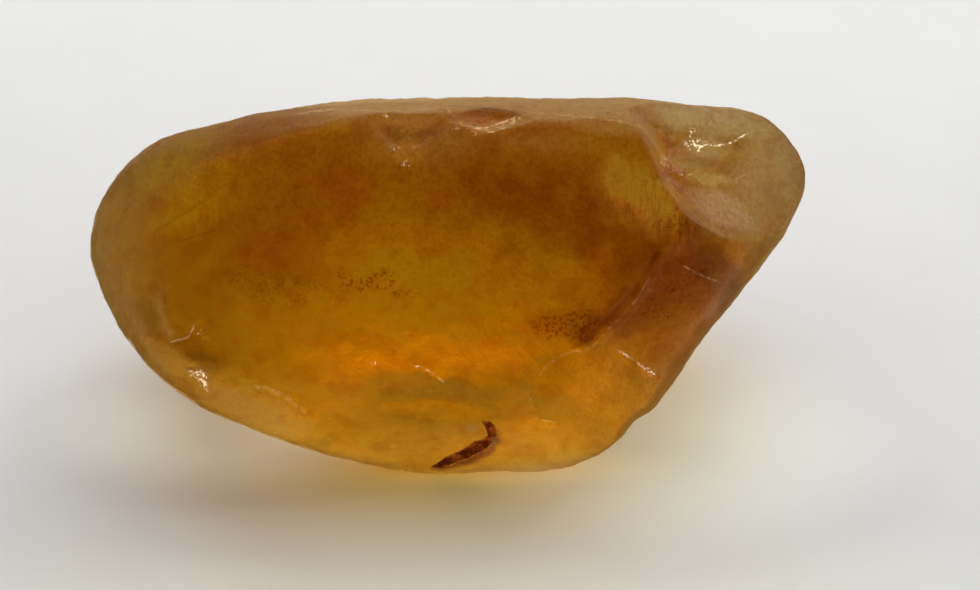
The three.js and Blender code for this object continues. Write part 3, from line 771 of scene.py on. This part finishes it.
# painted glow, as emission, for light scattered by the frosted skin: centre, size, turn, feather, warp,
# colour, strength
paintedGlowLook = {
    "leftRim": ((-9.4, 0.4), (2.1, 3.8), 6, 0.8, 0.2, (0.05, 0.042, 0.010), 1.0),
    "leftShoulder": ((-7.6, 3.4), (2.8, 0.9), 36, 0.8, 0.2, (0.038, 0.048, 0.0), 1.0),
    "leftFoot": ((-7.9, -2.2), (1.0, 0.9), -40, 0.8, 0.2, (0.05, 0.042, 0.012), 1.0),
    "topLeft": ((-2.6, 4.6), (3.8, 0.6), 2, 0.9, 0.2, (0.038, 0.042, 0.002), 1.0),
    "underCrest": ((1.6, 3.95), (4.4, 0.4), -4, 0.9, 0.2, (0.02, 0.02, 0.008), 1.0),
    "vHaze": ((-0.6, 4.0), (2.4, 1.1), 0, 0.8, 0.2, (0.018, 0.034, 0.011), 1.0),
    "crestHaze": ((3.3, 4.45), (1.8, 0.4), -4, 0.8, 0.2, (0.05, 0.05, 0.02), 1.0),
    "aboveV": ((-1.0, 4.4), (1.9, 0.35), 0, 0.8, 0.1, (0.055, 0.042, 0.016), 1.0),
    "rightShoulder": ((4.6, 4.35), (1.6, 0.4), -6, 0.8, 0.1, (0.06, 0.045, 0.02), 1.0),
    "lobeTop": ((7.2, 4.55), (2.9, 0.7), -9, 0.7, 0.2, (0.128, 0.116, 0.076), 1.0),
    "lobeBowl": ((7.2, 3.75), (0.95, 0.5), -6, 0.7, 0.1, (0.145, 0.122, 0.076), 1.0),
    "lobeFan": ((7.3, 2.88), (0.95, 0.25), -6, 0.7, 0.08, (0.17, 0.14, 0.06), 1.0),
    "lobeLens": ((7.75, 2.0), (1.5, 0.68), -26, 0.6, 0.1, (0.168, 0.13, 0.094), 1.0),
    "lobeRight": ((8.9, 3.0), (1.5, 2.3), -20, 0.7, 0.2, (0.066, 0.058, 0.047), 1.0),
    "lobeBead": ((5.97, 3.35), (0.14, 0.16), 0, 0.5, 0.02, (0.22, 0.13, 0.06), 1.0),
    # orange crumbs on the lobe's edge, lit by painted glow
    "rustCrumbsPaintedGlow": ((5.87, 3.55), (0.2, 0.85), 6, 0.7, 0.15, (0.10, 0.068, 0.008), 1.0),
    "rightRim": ((7.75, -0.3), (0.3, 2.9), 33, 0.7, 0.1, (0.012, 0.008, 0.002), 1.0),
    "lowerLeft": ((-5.3, -3.6), (2.2, 0.7), -22, 0.7, 0.2, (0.07, 0.056, 0.026), 1.0),
    "lowerMiddle": ((0.5, -4.4), (4.0, 0.7), 2, 0.8, 0.2, (0.03, 0.018, 0.008), 1.0),
    "cleftUpper": ((0.7, -4.0), (0.32, 0.16), 15, 0.7, 0.05, (0.07, 0.055, 0.03), 1.0),
    "cleftRight": ((1.3, -4.4), (0.22, 0.2), 60, 0.7, 0.05, (0.07, 0.055, 0.03), 1.0),
    "lowerRight": ((4.6, -3.0), (1.8, 1.4), 40, 0.7, 0.2, (0.015, 0.01, 0.003), 1.0),
    "goldPatch": ((5.3, 2.35), (1.9, 1.0), -38, 0.7, 0.3, (0.026, 0.013, 0.007), 1.0),
}
# veil: the frosted skin of the top strip, and the pale bands along the edges, shown as painted glow (a
# painted sheen and painted highlights) and as rougher skin
veilLook = {
    "towards": (0.1, 0.97, 0.2),  # which way the frosted skin looks, and how nearly
    "nearly": (0.72, 0.9),
    "start": (-5, -2.5),          # x where the strip comes in
    "biteShade": 0.85,
    "paintedGlow": (0.128, 0.11, 0.044),
    "whole": 0.09,                # glow that makes a whole veil
    "wornEdgePaintedGlow": {                 # pale band of painted glow, a painted highlight, where the strip meets the back
        "z": 2.4, "width": 0.17, "wander": (0.06, 0.8), "breaks": (0.45, 0.35),
        "left": (-4.6, -3.6), "right": (0.2, -0.2), "bottom": (4.5, 4.65), "paintedGlow": (0.5, 0.38, 0.2)},
    # line, width, strength
    "crests": {
        "lobeCrest": (((4.75, 4.48), (5.3, 4.3), (5.6, 4.12), (5.68, 3.85)), 0.2, 0.75),
        "lensEdge": (((5.95, 2.8), (6.2, 2.5), (6.7, 1.97), (7.34, 1.5), (7.8, 1.3), (8.6, 1.25)), 0.14, 0.7),
        "leftRidge": (((-7.95, -0.3), (-7.85, -0.9), (-7.62, -1.4)), 0.13, 0.5)},
}
# where the skin is frosted, fresh, glossy or grainy; x, y and z are how far the surface looks that way
skinLook = {
    "freshDepth": (0.06, 0.25),   # below the worn form
    "clearFace": ((6.5, 0.2), (2.2, 1.7), 42, 0.5, 0.2),
    "frontZ": (-0.3, 0.1),
    "turnedZ": (0.7, 0.35),
    "shoulder": {"z": (0.95, 0.75), "y": (0.3, 0.5)},
    "rim": {"z": (0.24, 0.15), "frontZ": (-0.4, -0.25), "strip": (0.8, 0.6), "x": (0.6, 0.3)},
    "grainy": {"inVeil": 0.75, "least": 0.35, "slope": 0.25, "range": (-1.5, 1.5)},
}
# masks for specks, hair streaks and small white glints, the glints painted as glow: centre, size, turn,
# feather, warp, strength
speckLook = {
    "specks": {
        "middle": ((-1.9, -0.02), (1.5, 0.4), -10, 0.6, 0.4, 1.0),
        "left": ((-4.6, -0.1), (2.6, 0.6), -8, 0.7, 0.5, 0.6),
        "right": ((3.4, -1.15), (1.7, 0.6), 5, 0.7, 0.5, 1.0),
        "crease": ((5.9, -0.8), (0.9, 0.45), 0, 0.7, 0.3, 0.8),
        "vChip": ((-0.9, 3.9), (1.2, 0.6), 0, 0.7, 0.2, 0.4),
        "goldEdge": ((6.3, 1.6), (1.4, 0.6), -32, 0.7, 0.3, 0.7),
        "rightFace": ((6.6, -0.2), (1.6, 1.4), 30, 0.7, 0.3, 0.5),
        "upper": ((1.0, 2.4), (5.5, 1.8), -5, 0.9, 0.3, 0.3)},
    "gold": {
        "patch": ((5.3, 2.3), (1.5, 1.0), -40, 0.7, 0.3, 0.8),
        "low": ((6.2, 1.5), (1.5, 0.6), -32, 0.7, 0.3, 1.0),
        "window": ((-6.6, 1.7), (1.2, 0.5), 40, 0.6, 0.2, 0.3)},
    "spark": {
        "bowl": ((6.9, 3.8), (0.36, 0.24), -25, 0.5, 0.05, 1.0),
        "lobeSpot": ((6.85, 4.25), (0.12, 0.09), 0, 0.5, 0.0, 1.0),
        "brightChip": ((-6.68, -2.68), (0.15, 0.27), -15, 0.4, 0.0, 1.0),
        "brightChipLeft": ((-6.98, -2.5), (0.16, 0.1), 0, 0.5, 0.0, 0.9),
        "leftSpark": ((-6.77, -1.33), (0.08, 0.08), 0, 0.5, 0.0, 1.0),
        "vTip": ((-1.05, 3.22), (0.14, 0.1), -40, 0.5, 0.0, 1.0),
        "vLow": ((-1.4, 3.68), (0.16, 0.06), -10, 0.5, 0.0, 0.7),
        "biteSide": ((0.25, 4.2), (0.1, 0.12), 0, 0.5, 0.0, 0.6),
        "lipStart": ((-1.9, -2.22), (0.1, 0.07), -30, 0.5, 0.0, 0.9),
        "lipMiddle": ((-0.75, -2.32), (0.14, 0.06), -30, 0.5, 0.0, 0.7),
        "vSpark": ((-1.66, 4.5), (0.08, 0.08), 0, 0.5, 0.0, 1.0),
        "rightScratch": ((5.65, -2.45), (0.3, 0.1), -30, 0.5, 0.0, 1.0),
        "lobeEdge": ((6.0, 3.3), (0.15, 0.3), 10, 0.5, 0.05, 0.25)},
}


def reliefLine(name):
    # the points of a line that is also in the relief
    return reliefLook["lines"][name][0]


lineReach = {
    "sideLimit": 6,               # in half widths
    "near": (0.24, 0.12),         # distance at which a line's mask comes in
}
# thin lines on the front skin: pale ones are painted highlights and sparks painted glints, both glowing; dark
# ones darken the tint along cracks, and as painted shade under the crease and along the bite's edge: points,
# half width, strength
lineLook = {
    "pale": {
        "crease": (((5.55, 0.1), *reliefLine("rightCrease")[1:]), 0.035, 0.28),
        "crack": (((6.61, 0.42), (7.05, 0.2), (7.5, 0.03)), 0.03, 0.6),
        "bulge": (reliefLine("bulgeNotch"), 0.03, 0.6),
        "rightScratch": (((5.0, -2.0), (5.38, -2.28), (5.75, -2.52)), 0.035, 0.25),
        "lip": (((-0.87, -2.27), (-0.5, -2.4), (-0.1, -2.69)), 0.045, 0.8),
        "lipLeft": (((-1.99, -2.25), (-1.8, -2.33)), 0.05, 0.4),
        "lipOrange": (((-1.95, -2.9), (-1.5, -2.8), (-1.06, -2.94)), 0.04, 0.15),
        "biteLeft": (((0.04, 4.77), (0.22, 4.57), (0.42, 4.34)), 0.03, 0.7),
        "biteRim": (
            ((0.62, 4.28), (0.92, 4.22), (1.18, 4.26), (1.4, 4.34), (1.71, 4.45), (1.98, 4.56)), 0.04, 2.0),
        "biteRimLow": (((0.87, 4.07), (1.32, 4.13), (1.62, 4.25), (1.93, 4.42), (2.1, 4.58)), 0.035, 1.1),
        "rightCrest": (((2.2, 4.68), (3.2, 4.6), (4.1, 4.5), (4.8, 4.42), (5.3, 4.28)), 0.04, 0.35),
        "vLeft": (((-1.95, 4.3), (-1.6, 3.85), (-1.35, 3.6)), 0.08, 0.12),
        "vRight": (((0.0, 4.3), (-0.4, 3.98), (-0.75, 3.75)), 0.07, 0.1),
        "lobeSmallArc": (((6.5, 2.98), (6.68, 2.96), (6.85, 3.05)), 0.035, 0.9),
        "lobeScratch": (reliefLine("lobeScratch"), 0.06, 0.4),
        "fanA": (((7.2, 2.72), (7.9, 2.85), (8.3, 3.0)), 0.05, 0.25),
        "fanB": (((6.9, 2.6), (7.5, 2.66), (8.0, 2.75)), 0.04, 0.2),
        "lowerLeftCrease": (((-5.6, -2.86), (-4.9, -2.92), (-4.4, -3.15), (-3.9, -3.6)), 0.1, 0.3),
        "leftCrumbs": (((-7.55, -1.62), (-7.1, -1.5), (-6.95, -1.25)), 0.045, 0.6)},
    "dark": {
        "underCrease": (
            ((5.8, 0.85), (5.1, -0.3), (4.65, -0.75), (4.2, -1.2), (3.9, -1.6), (3.5, -1.75)), 0.1, 0.7),
        "windowLine": (((-7.98, 1.43), (-7.2, 1.9), (-6.53, 2.32)), 0.07, 0.5),
        "windowLineB": (((-7.28, 1.15), (-6.41, 1.43)), 0.06, 0.5),
        "biteEdge": (((0.16, 4.88), (1.3, 4.78), (2.2, 4.66)), 0.06, 1.0),
        "lensA": (reliefLine("lensLineA"), 0.04, 0.5),
        "lensB": (reliefLine("lensLineB"), 0.04, 0.4),
        "fanDark": (((7.4, 2.98), (7.9, 3.1)), 0.04, 0.5),
        "lensRim": (((5.8, 3.0), (6.1, 2.35), (6.6, 1.9), (7.2, 1.42), (7.7, 1.12)), 0.12, 0.35)},
    "spark": {
        "lobeArc": (((7.35, 3.83), (7.6, 3.82), (7.85, 3.87), (8.05, 3.97), (8.25, 4.1)), 0.04, 0.8),
        "bowlA": (((6.83, 3.96), (6.9, 3.8), (7.1, 3.78)), 0.06, 1.0),
        "bowlB": (((7.2, 3.9), (7.32, 3.82)), 0.06, 0.9),
        "chipA": (((-6.75, -2.52), (-6.66, -2.85)), 0.09, 0.7),
        "chipB": (((-7.05, -2.48), (-6.92, -2.58)), 0.05, 0.7),
        "scratchA": (((5.4, -2.3), (5.72, -2.5)), 0.05, 0.5),
        "scratchB": (((4.85, -1.93), (4.97, -2.0)), 0.04, 0.6)},
}


def patchMask(p, wobble, centre, size, turn, feather, warp):
    # 1 inside a soft ellipse and 0 outside it, its edge moved by the wobble, on the front only
    local = p[:, :2] + wobble * warp - np.array(centre)
    c, s = math.cos(math.radians(turn)), math.sin(math.radians(turn))
    local = local @ np.array([[c, -s], [s, c]]) / np.array(size)
    return ramp(np.linalg.norm(local, axis=1), 1, 1 - feather) * ramp(p[:, 2], *patchFront)


def lineSide(p, lines):
    # distance to the nearest line in half widths, less than 0 on its right, and a mask with its strength
    least, side, near = np.full(len(p), 99.0), np.zeros(len(p)), np.zeros(len(p))
    for line, width, strength in lines.values():
        for a, b in zip(line[:-1], line[1:]):
            off = lineDistance(p, (a, b))
            cross = (b[0] - a[0]) * (p[:, 1] - a[1]) - (b[1] - a[1]) * (p[:, 0] - a[0])
            closer = off < least
            side = np.where(closer, np.sign(cross) * np.minimum(off / width, lineReach["sideLimit"]), side)
            near = np.where(closer, strength * ramp(off, *lineReach["near"]), near)
            least = np.minimum(least, off)
    return side, near * ramp(p[:, 2], *patchFront)


def zoneTint(p, wobble):
    # product over the zones (painted light and shade, and colour clouds) and the back's clouds of 1 + mask *
    # (colour - 1)
    tint = np.ones((len(p), 4))
    for *shape, colour, strength in zoneLook.values():
        share = patchMask(p, wobble, *shape)[:, None] * strength
        tint[:, :3] *= 1 + share * (np.array(colour) - 1)
    look = backCloudLook
    clouds = uneven(p, *look["coarse"], 71) + uneven(p, *look["fine"], 73)
    cloud = ramp(clouds, *look["from"]) * ramp(p[:, 2], *look["height"])
    tint[:, :3] *= 1 + cloud[:, None] * (np.array(look["tint"]) - 1)
    most = 1 / np.array(crystalLook["skin"][:3])    # a crossing can't pass more than all the light
    tint[:, :3] = np.minimum(tint[:, :3], most)
    return tint


def towardsStrip(n):
    # how nearly the surface looks the way the top strip does
    towards = np.array(veilLook["towards"])
    return n @ (towards / np.linalg.norm(towards))


def veilBands(p, n, wobble):
    # strength of the painted glow: largest of the frosted strip, weaker in the bite, and each crest's
    # strength * exp(-(distance / width)^2)
    look = veilLook
    strip = ramp(towardsStrip(n), *look["nearly"]) * ramp(p[:, 0], *look["start"])
    bands = strip * (1 - look["biteShade"] * patchMask(p, wobble, *zoneLook["biteInside"][:5]))
    for line, width, strength in look["crests"].values():
        crest = strength * np.exp(-((lineDistance(p, line) / width) ** 2)) * ramp(p[:, 2], *patchFront)
        bands = np.maximum(bands, crest)
    return bands


def wornEdgePaintedGlowBand(p):
    # painted highlight along the worn edge: exp(-((z - height) / width)^2), the height wandering and the band
    # broken by fine lumps
    look = veilLook["wornEdgePaintedGlow"]
    worn = np.exp(-(((p[:, 2] - look["z"] - uneven(p, *look["wander"], 75)) / look["width"]) ** 2))
    worn *= ramp(p[:, 0], *look["left"]) * ramp(p[:, 0], *look["right"]) * ramp(p[:, 1], *look["bottom"])
    share, spacing = look["breaks"]
    return worn * (1 - share + share * np.clip(uneven(p, 1, spacing, 77), -1, 1))


def skinPaintedGlow(p, n, wobble):
    # painted glow: the largest, for each colour, of the veil, the worn edge and the glow patches
    paintedGlow = np.zeros((len(p), 4))
    paintedGlow[:, :3] = veilBands(p, n, wobble)[:, None] * np.array(veilLook["paintedGlow"])
    paintedGlow[:, :3] = np.maximum(paintedGlow[:, :3], wornEdgePaintedGlowBand(p)[:, None] * np.array(veilLook["wornEdgePaintedGlow"]["paintedGlow"]))
    for *shape, colour, strength in paintedGlowLook.values():
        patch = patchMask(p, wobble, *shape)[:, None] * strength * np.array(colour)
        paintedGlow[:, :3] = np.maximum(paintedGlow[:, :3], patch)
    return paintedGlow


def skinMasks(p, n, wobble, veil):
    # veil: painted glow, and surface that turns away; fresh: surface sunk below the worn form, and the clear
    # face;
    # rim: the edge seen side on, but not along the top strip or on the right; grainy: less in the veil and
    # towards the lower left
    look = skinLook
    distance = np.linalg.norm(p, axis=1)
    fresh = ramp(pebbleReach(p / distance[:, None]) - distance, *look["freshDepth"]) * (1 - veil)
    front = ramp(n[:, 2], *look["frontZ"])
    shoulder = ramp(n[:, 2], *look["shoulder"]["z"]) * ramp(n[:, 1], *look["shoulder"]["y"]) * front
    turned = np.maximum(ramp(n[:, 2], *look["turnedZ"]) * front, shoulder)
    rim = ramp(n[:, 2], *look["rim"]["z"]) * ramp(n[:, 2], *look["rim"]["frontZ"])
    rim *= ramp(towardsStrip(n), *look["rim"]["strip"])
    rim *= ramp(n[:, 0], *look["rim"]["x"])
    grain = look["grainy"]
    upper = ramp(p[:, 1] + grain["slope"] * p[:, 0], *grain["range"])
    return {"veil": np.maximum(veil, turned),
            "fresh": np.maximum(fresh, patchMask(p, wobble, *look["clearFace"])),
            "rim": rim,
            "grainy": (1 - grain["inVeil"] * veil) * (grain["least"] + (1 - grain["least"]) * upper)}


def paintMasks(mesh):
    # tint, with its painted light and shade, and the painted glow as colours, the rest as one number a vertex
    p = leanBack(vertexValues(mesh, "co") * 1000 - np.array([*boxShift, baseOut]))
    n = leanBack(vertexValues(mesh, "normal"))
    wobble = sum(np.column_stack([uneven(p, amount, spacing, seed), uneven(p, amount, spacing, seed + 2)])
                 for amount, spacing, seed in patchWander)
    paintedGlow = skinPaintedGlow(p, n, wobble)
    masks = skinMasks(p, n, wobble, np.clip(paintedGlow[:, 0] / veilLook["whole"], 0, 1))
    for name, patches in speckLook.items():
        masks[name] = np.zeros(len(p))
        for *shape, strength in patches.values():
            masks[name] = np.maximum(masks[name], strength * patchMask(p, wobble, *shape))
    for name, lines in lineLook.items():
        masks[name + "Side"], masks[name + "Near"] = lineSide(p, lines)
    for name, values in masks.items():
        mesh.attributes.new(name, "FLOAT", "POINT").data.foreach_set("value", values.astype(np.float32))
    for name, values in (("tint", zoneTint(p, wobble)), ("paintedGlow", paintedGlow)):
        colours = mesh.attributes.new(name, "FLOAT_COLOR", "POINT").data
        colours.foreach_set("color", values.astype(np.float32).ravel())


crystal = makeCrystal()
stain = makeStain()
stone = makeStone()
stone.data.materials.append(crystal)
cutCleft(stone, stain)
stone.data.shade_smooth()
paintMasks(stone.data)
print("stone made:", len(stone.data.polygons), "faces,", [m.name for m in stone.data.materials])
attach(stone, "root")
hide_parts("rough_chrysoberyl")

floorLook = {
    "size": 1.2,
    "colour": (0.80, 0.80, 0.79, 1),
    "mottle": (0.785, 0.785, 0.775, 1),
    "mottleNoise": (300.0, 3.0),           # scale and detail
    "mottleFrom": (0.3, 0.7),
    "roughness": 0.7,
    "pools": {                             # painted light, as emission: amber pools for the light through the stone, whitish ones that lift the stone's shadow: place, size, colour
        "under": ((-0.0003, 0.0013, 0), (0.0085, 0.0044, 1), (0.57, 0.34, 0.045, 1)),
        "amber": ((-0.0002, -0.0012, 0), (0.0085, 0.006, 1), (0.14, 0.10, 0.016, 1)),
        "front": ((0.0005, -0.0105, 0), (0.0195, 0.0075, 1), (0.21, 0.2, 0.14, 1)),
        "contact": ((0.001, -0.0036, 0), (0.006, 0.0012, 1), (0.17, 0.105, 0.012, 1)),
        "left": ((-0.0062, -0.0021, 0), (0.006, 0.0034, 1), (0.23, 0.25, 0.21, 1)),
        "right": ((0.0066, -0.003, 0), (0.0072, 0.0052, 1), (0.22, 0.24, 0.2, 1))},
    "poolEdge": (1.0, 0.2),                # in pool sizes
    "paintedAmberShadeTint": (0.85, 0.7, 0.2, 1),       # painted amber shade: colours the floor round the amber pool, for the stone's tinted shadow
    "paintedAmberShadeEdge": (1.35, 0.3),
}


def makeFloor():
    # a pale floor, and on it soft pools of painted light, glowing as emission: each 1 at its middle and 0 at
    # its edge, added up
    look = floorLook
    half = look["size"] / 2
    corners = np.array([(-half, -half, 0), (half, -half, 0), (half, half, 0), (-half, half, 0)])
    mesh = meshFrom("paleFloor", corners, np.array([[0, 1, 2, 3]]))
    floor = bpy.data.objects.new("paleFloor", mesh)
    bpy.context.scene.collection.objects.link(floor)
    material, n = freshMaterial("paleFloor")
    coordinates = n.add("TexCoord").outputs["Object"]
    mottle = n.noise(coordinates, *look["mottleNoise"])
    shade = n.mix(n.ramp(mottle, *look["mottleFrom"]), look["colour"], look["mottle"])
    pool = (0, 0, 0, 1)
    for name, (centre, size, colour) in look["pools"].items():
        local = n.add("VectorMath", {0: coordinates, 1: centre}, operation="SUBTRACT").outputs[0]
        scaled = n.add("VectorMath", {0: local, 1: size}, operation="DIVIDE").outputs[0]
        far = n.add("VectorMath", {0: scaled}, operation="LENGTH").outputs["Value"]
        if name == "amber":
            shade = n.mix(n.ramp(far, *look["paintedAmberShadeEdge"]), shade, look["paintedAmberShadeTint"], "MULTIPLY")
        pool = n.mix(n.ramp(far, *look["poolEdge"]), pool, colour, "ADD")
    shader = n.add("BsdfPrincipled", {
        "Base Color": shade, "Roughness": look["roughness"],
        "Emission Color": pool, "Emission Strength": 1.0})
    n.feed(n.add("OutputMaterial"), "Surface", shader.outputs["BSDF"])
    mesh.materials.append(material)


lightLook = {
    "skyColour": (1.0, 0.9, 0.7, 1),
    "skyStrength": 0.04,
    "aim": (0, 0, 0.004),
    "lamps": {                             # place, size, power
        "back": ((0.015, 0.12, 0.072), (0.24, 0.14), 0.34),
        "top": ((0.0, 0.0, 0.2), (0.3, 0.2), 0.14),
        "left": ((-0.16, -0.03, 0.05), (0.1, 0.12), 0.02),
        "right": ((0.16, -0.03, 0.05), (0.1, 0.12), 0.03)},
}


def lookAlong(thing, way):
    # turns a lamp or a camera so that it looks along a direction
    thing.rotation_euler = Vector([float(x) for x in way]).to_track_quat("-Z", "Y").to_euler()


def makeLamp(name, place, size, power):
    data = bpy.data.lights.new(name, "AREA")
    data.shape = "RECTANGLE"
    data.size, data.size_y = size
    data.energy = power
    lamp = bpy.data.objects.new(name, data)
    bpy.context.scene.collection.objects.link(lamp)
    lamp.location = place
    lookAlong(lamp, np.array(lightLook["aim"]) - np.array(place))


def makeSky():
    world = bpy.data.worlds.new("softRoom")
    bpy.context.scene.world = world
    world.use_nodes = True
    world.node_tree.nodes.clear()
    n = Nodes(world.node_tree)
    background = n.add("Background", {"Color": lightLook["skyColour"], "Strength": lightLook["skyStrength"]})
    n.feed(n.add("OutputWorld"), "Surface", background.outputs["Background"])


cameraLook = {
    "distance": 0.150,
    "across": 0.02745,                     # of scene, from side to side of the frame
    "right": 0.001204,                     # the aim, from the middle of the leaning frame
    "down": 0.000336,
    "sensor": 36,
    "clip": (0.01, 5),
    "bounces": {"max_bounces": 6, "transmission_bounces": 6, "glossy_bounces": 2, "diffuse_bounces": 2},
}


def makeCamera():
    # a long lens, square to the broad face, so as high above the floor as that face leans back
    look = cameraLook
    data = bpy.data.cameras.new("camera")
    camera = bpy.data.objects.new("camera", data)
    bpy.context.scene.collection.objects.link(camera)
    data.sensor_width = look["sensor"]
    data.lens = look["sensor"] * look["distance"] / look["across"]
    data.clip_start, data.clip_end = look["clip"]
    elevation = math.pi / 2 - lean
    toward = np.array([0, -math.cos(elevation), math.sin(elevation)])
    up = np.array([0, math.sin(elevation), math.cos(elevation)])
    middle = np.array([*boxShift, baseOut]) * 0.001
    aim = middle + np.array([look["right"], 0, 0]) - look["down"] * up
    camera.location = aim + look["distance"] * toward
    lookAlong(camera, -toward)
    bpy.context.scene.camera = camera
    for name, count in look["bounces"].items():
        setattr(bpy.context.scene.cycles, name, count)
    bpy.context.scene.view_settings.view_transform = "Standard"


makeFloor()
makeSky()
for name, (place, size, power) in lightLook["lamps"].items():
    makeLamp(name, place, size, power)
makeCamera()
print("stage made")
